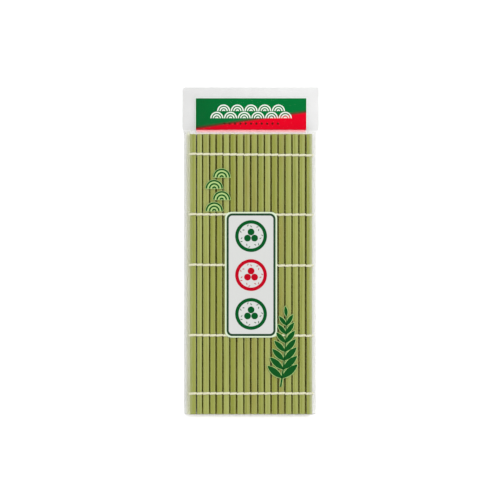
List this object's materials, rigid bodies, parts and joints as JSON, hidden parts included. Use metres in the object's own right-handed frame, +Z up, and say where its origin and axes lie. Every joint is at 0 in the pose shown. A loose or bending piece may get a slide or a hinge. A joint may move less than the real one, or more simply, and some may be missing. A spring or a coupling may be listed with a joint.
{
  "type": "sushi rolling mat",
  "caption": "Bamboo sushi rolling mat of flat slats woven on rows of string, folded in half and packed flat in a clear bag with a plain header card.",
  "frame": {"origin": "middle of the bag's outline, on the surface that the bag lies on", "axes": "+X across the slats from the fold to the free edges, +Y along the slats towards the header, +Z up out of the front panel"},
  "size_m": [0.117, 0.2808, 0.0086],
  "materials": {
    "bamboo_front": "satin green skin of split bamboo",
    "bamboo_back": "satin green skin of split bamboo",
    "string": "twisted unbleached cotton",
    "film": "clear polypropylene film",
    "card": "printed coated card, green over red",
    "panel": "white print with a green outline"
  },
  "bodies": {
    "back_slat_01": {"back_slat_01": "bamboo_back", "string_row_1": "string", "string_row_2": "string", "string_row_3": "string", "string_row_4": "string", "string_row_5": "string"},
    "back_slat_02": {"back_slat_02": "bamboo_back"},
    "back_slat_03": {"back_slat_03": "bamboo_back"},
    "back_slat_04": {"back_slat_04": "bamboo_back"},
    "back_slat_05": {"back_slat_05": "bamboo_back"},
    "back_slat_06": {"back_slat_06": "bamboo_back"},
    "back_slat_07": {"back_slat_07": "bamboo_back"},
    "back_slat_08": {"back_slat_08": "bamboo_back"},
    "back_slat_09": {"back_slat_09": "bamboo_back"},
    "back_slat_10": {"back_slat_10": "bamboo_back"},
    "back_slat_11": {"back_slat_11": "bamboo_back"},
    "back_slat_12": {"back_slat_12": "bamboo_back"},
    "back_slat_13": {"back_slat_13": "bamboo_back"},
    "back_slat_14": {"back_slat_14": "bamboo_back"},
    "back_slat_15": {"back_slat_15": "bamboo_back"},
    "back_slat_16": {"back_slat_16": "bamboo_back"},
    "back_slat_17": {"back_slat_17": "bamboo_back"},
    "back_slat_18": {"back_slat_18": "bamboo_back"},
    "front_slat_01": {"front_slat_01": "bamboo_front"},
    "front_slat_02": {"front_slat_02": "bamboo_front"},
    "front_slat_03": {"front_slat_03": "bamboo_front"},
    "front_slat_04": {"front_slat_04": "bamboo_front"},
    "front_slat_05": {"front_slat_05": "bamboo_front"},
    "front_slat_06": {"front_slat_06": "bamboo_front"},
    "front_slat_07": {"front_slat_07": "bamboo_front"},
    "front_slat_08": {"front_slat_08": "bamboo_front"},
    "front_slat_09": {"front_slat_09": "bamboo_front"},
    "front_slat_10": {"front_slat_10": "bamboo_front"},
    "front_slat_11": {"front_slat_11": "bamboo_front"},
    "front_slat_12": {"front_slat_12": "bamboo_front"},
    "front_slat_13": {"front_slat_13": "bamboo_front"},
    "front_slat_14": {"front_slat_14": "bamboo_front"},
    "front_slat_15": {"front_slat_15": "bamboo_front"},
    "front_slat_16": {"front_slat_16": "bamboo_front"},
    "front_slat_17": {"front_slat_17": "bamboo_front"},
    "front_slat_18": {"front_slat_18": "bamboo_front"},
    "bag": {"bag_back_film": "film", "bag_front_film": "film", "header_card": "card", "front_panel": "panel"}
  },
  "joints": [
    {"name": "fold_open", "type": "hinge", "parent": "back_slat_01", "child": "front_slat_01", "pos_m": [-0.05212, 0, 0.00425], "axis": [0, 1, 0], "range_deg": [-180, 0], "deforming": ["string_row_1", "string_row_2", "string_row_3", "string_row_4", "string_row_5", "bag_front_film", "front_panel"]},
    {"name": "roll_up", "type": "hinge", "parent": "back_slat_01", "child": "back_slat_02", "pos_m": [-0.04644, 0, 0.0023], "axis": [0, -1, 0], "range_deg": [0, 15.2], "deforming": ["string_row_1", "string_row_2", "string_row_3", "string_row_4", "string_row_5", "bag_front_film", "front_panel"]},
    {"name": "roll_back_03", "type": "hinge", "parent": "back_slat_02", "child": "back_slat_03", "pos_m": [-0.03976, 0, 0.0023], "axis": [0, -1, 0], "range_deg": [0, 15.2]},
    {"name": "roll_back_04", "type": "hinge", "parent": "back_slat_03", "child": "back_slat_04", "pos_m": [-0.03348, 0, 0.0023], "axis": [0, -1, 0], "range_deg": [0, 15.2]},
    {"name": "roll_back_05", "type": "hinge", "parent": "back_slat_04", "child": "back_slat_05", "pos_m": [-0.02788, 0, 0.0023], "axis": [0, -1, 0], "range_deg": [0, 15.2]},
    {"name": "roll_back_06", "type": "hinge", "parent": "back_slat_05", "child": "back_slat_06", "pos_m": [-0.0221, 0, 0.0023], "axis": [0, -1, 0], "range_deg": [0, 15.2]},
    {"name": "roll_back_07", "type": "hinge", "parent": "back_slat_06", "child": "back_slat_07", "pos_m": [-0.01594, 0, 0.0023], "axis": [0, -1, 0], "range_deg": [0, 15.2]},
    {"name": "roll_back_08", "type": "hinge", "parent": "back_slat_07", "child": "back_slat_08", "pos_m": [-0.01016, 0, 0.0023], "axis": [0, -1, 0], "range_deg": [0, 15.2]},
    {"name": "roll_back_09", "type": "hinge", "parent": "back_slat_08", "child": "back_slat_09", "pos_m": [-0.00438, 0, 0.0023], "axis": [0, -1, 0], "range_deg": [0, 15.2]},
    {"name": "roll_back_10", "type": "hinge", "parent": "back_slat_09", "child": "back_slat_10", "pos_m": [0.0018, 0, 0.0023], "axis": [0, -1, 0], "range_deg": [0, 15.2]},
    {"name": "roll_back_11", "type": "hinge", "parent": "back_slat_10", "child": "back_slat_11", "pos_m": [0.00798, 0, 0.0023], "axis": [0, -1, 0], "range_deg": [0, 15.2]},
    {"name": "roll_back_12", "type": "hinge", "parent": "back_slat_11", "child": "back_slat_12", "pos_m": [0.01386, 0, 0.0023], "axis": [0, -1, 0], "range_deg": [0, 15.2]},
    {"name": "roll_back_13", "type": "hinge", "parent": "back_slat_12", "child": "back_slat_13", "pos_m": [0.01956, 0, 0.0023], "axis": [0, -1, 0], "range_deg": [0, 15.2]},
    {"name": "roll_back_14", "type": "hinge", "parent": "back_slat_13", "child": "back_slat_14", "pos_m": [0.02569, 0, 0.0023], "axis": [0, -1, 0], "range_deg": [0, 15.2]},
    {"name": "roll_back_15", "type": "hinge", "parent": "back_slat_14", "child": "back_slat_15", "pos_m": [0.0318, 0, 0.0023], "axis": [0, -1, 0], "range_deg": [0, 15.2]},
    {"name": "roll_back_16", "type": "hinge", "parent": "back_slat_15", "child": "back_slat_16", "pos_m": [0.03735, 0, 0.0023], "axis": [0, -1, 0], "range_deg": [0, 15.2]},
    {"name": "roll_back_17", "type": "hinge", "parent": "back_slat_16", "child": "back_slat_17", "pos_m": [0.04296, 0, 0.0023], "axis": [0, -1, 0], "range_deg": [0, 15.2]},
    {"name": "roll_back_18", "type": "hinge", "parent": "back_slat_17", "child": "back_slat_18", "pos_m": [0.04854, 0, 0.0023], "axis": [0, -1, 0], "range_deg": [0, 15.2]},
    {"name": "roll_front_02", "type": "hinge", "parent": "front_slat_01", "child": "front_slat_02", "pos_m": [-0.04579, 0, 0.0062], "axis": [0, -1, 0], "range_deg": [0, 18.49]},
    {"name": "roll_front_03", "type": "hinge", "parent": "front_slat_02", "child": "front_slat_03", "pos_m": [-0.04061, 0, 0.0062], "axis": [0, -1, 0], "range_deg": [0, 18.49]},
    {"name": "roll_front_04", "type": "hinge", "parent": "front_slat_03", "child": "front_slat_04", "pos_m": [-0.03456, 0, 0.0062], "axis": [0, -1, 0], "range_deg": [0, 18.49]},
    {"name": "roll_front_05", "type": "hinge", "parent": "front_slat_04", "child": "front_slat_05", "pos_m": [-0.029, 0, 0.0062], "axis": [0, -1, 0], "range_deg": [0, 18.49]},
    {"name": "roll_front_06", "type": "hinge", "parent": "front_slat_05", "child": "front_slat_06", "pos_m": [-0.0232, 0, 0.0062], "axis": [0, -1, 0], "range_deg": [0, 18.49]},
    {"name": "roll_front_07", "type": "hinge", "parent": "front_slat_06", "child": "front_slat_07", "pos_m": [-0.01726, 0, 0.0062], "axis": [0, -1, 0], "range_deg": [0, 18.49]},
    {"name": "roll_front_08", "type": "hinge", "parent": "front_slat_07", "child": "front_slat_08", "pos_m": [-0.01151, 0, 0.0062], "axis": [0, -1, 0], "range_deg": [0, 18.49]},
    {"name": "roll_front_09", "type": "hinge", "parent": "front_slat_08", "child": "front_slat_09", "pos_m": [-0.00528, 0, 0.0062], "axis": [0, -1, 0], "range_deg": [0, 18.49]},
    {"name": "roll_front_10", "type": "hinge", "parent": "front_slat_09", "child": "front_slat_10", "pos_m": [0.00055, 0, 0.0062], "axis": [0, -1, 0], "range_deg": [0, 18.49]},
    {"name": "roll_front_11", "type": "hinge", "parent": "front_slat_10", "child": "front_slat_11", "pos_m": [0.00668, 0, 0.0062], "axis": [0, -1, 0], "range_deg": [0, 18.49]},
    {"name": "roll_front_12", "type": "hinge", "parent": "front_slat_11", "child": "front_slat_12", "pos_m": [0.01231, 0, 0.0062], "axis": [0, -1, 0], "range_deg": [0, 18.49]},
    {"name": "roll_front_13", "type": "hinge", "parent": "front_slat_12", "child": "front_slat_13", "pos_m": [0.01804, 0, 0.0062], "axis": [0, -1, 0], "range_deg": [0, 18.49]},
    {"name": "roll_front_14", "type": "hinge", "parent": "front_slat_13", "child": "front_slat_14", "pos_m": [0.02405, 0, 0.0062], "axis": [0, -1, 0], "range_deg": [0, 18.49]},
    {"name": "roll_front_15", "type": "hinge", "parent": "front_slat_14", "child": "front_slat_15", "pos_m": [0.02987, 0, 0.0062], "axis": [0, -1, 0], "range_deg": [0, 18.49]},
    {"name": "roll_front_16", "type": "hinge", "parent": "front_slat_15", "child": "front_slat_16", "pos_m": [0.03598, 0, 0.0062], "axis": [0, -1, 0], "range_deg": [0, 18.49]},
    {"name": "roll_front_17", "type": "hinge", "parent": "front_slat_16", "child": "front_slat_17", "pos_m": [0.04186, 0, 0.0062], "axis": [0, -1, 0], "range_deg": [0, 18.49]},
    {"name": "roll_front_18", "type": "hinge", "parent": "front_slat_17", "child": "front_slat_18", "pos_m": [0.04769, 0, 0.0062], "axis": [0, -1, 0], "range_deg": [0, 18.49]},
    {"name": "bag_pull_off", "type": "slide", "parent": "back_slat_01", "child": "bag", "axis": [0, -1, 0], "range_m": [-0.29, 0]}
  ],
  "couplings": [
    {"joint": "roll_back_03", "follows": "roll_up", "ratio": 1},
    {"joint": "roll_back_04", "follows": "roll_up", "ratio": 1},
    {"joint": "roll_back_05", "follows": "roll_up", "ratio": 1},
    {"joint": "roll_back_06", "follows": "roll_up", "ratio": 1},
    {"joint": "roll_back_07", "follows": "roll_up", "ratio": 1},
    {"joint": "roll_back_08", "follows": "roll_up", "ratio": 1},
    {"joint": "roll_back_09", "follows": "roll_up", "ratio": 1},
    {"joint": "roll_back_10", "follows": "roll_up", "ratio": 1},
    {"joint": "roll_back_11", "follows": "roll_up", "ratio": 1},
    {"joint": "roll_back_12", "follows": "roll_up", "ratio": 1},
    {"joint": "roll_back_13", "follows": "roll_up", "ratio": 1},
    {"joint": "roll_back_14", "follows": "roll_up", "ratio": 1},
    {"joint": "roll_back_15", "follows": "roll_up", "ratio": 1},
    {"joint": "roll_back_16", "follows": "roll_up", "ratio": 1},
    {"joint": "roll_back_17", "follows": "roll_up", "ratio": 1},
    {"joint": "roll_back_18", "follows": "roll_up", "ratio": 1},
    {"joint": "roll_front_02", "follows": "roll_up", "ratio": 1.216},
    {"joint": "roll_front_03", "follows": "roll_up", "ratio": 1.216},
    {"joint": "roll_front_04", "follows": "roll_up", "ratio": 1.216},
    {"joint": "roll_front_05", "follows": "roll_up", "ratio": 1.216},
    {"joint": "roll_front_06", "follows": "roll_up", "ratio": 1.216},
    {"joint": "roll_front_07", "follows": "roll_up", "ratio": 1.216},
    {"joint": "roll_front_08", "follows": "roll_up", "ratio": 1.216},
    {"joint": "roll_front_09", "follows": "roll_up", "ratio": 1.216},
    {"joint": "roll_front_10", "follows": "roll_up", "ratio": 1.216},
    {"joint": "roll_front_11", "follows": "roll_up", "ratio": 1.216},
    {"joint": "roll_front_12", "follows": "roll_up", "ratio": 1.216},
    {"joint": "roll_front_13", "follows": "roll_up", "ratio": 1.216},
    {"joint": "roll_front_14", "follows": "roll_up", "ratio": 1.216},
    {"joint": "roll_front_15", "follows": "roll_up", "ratio": 1.216},
    {"joint": "roll_front_16", "follows": "roll_up", "ratio": 1.216},
    {"joint": "roll_front_17", "follows": "roll_up", "ratio": 1.216},
    {"joint": "roll_front_18", "follows": "roll_up", "ratio": 1.216}
  ]
}
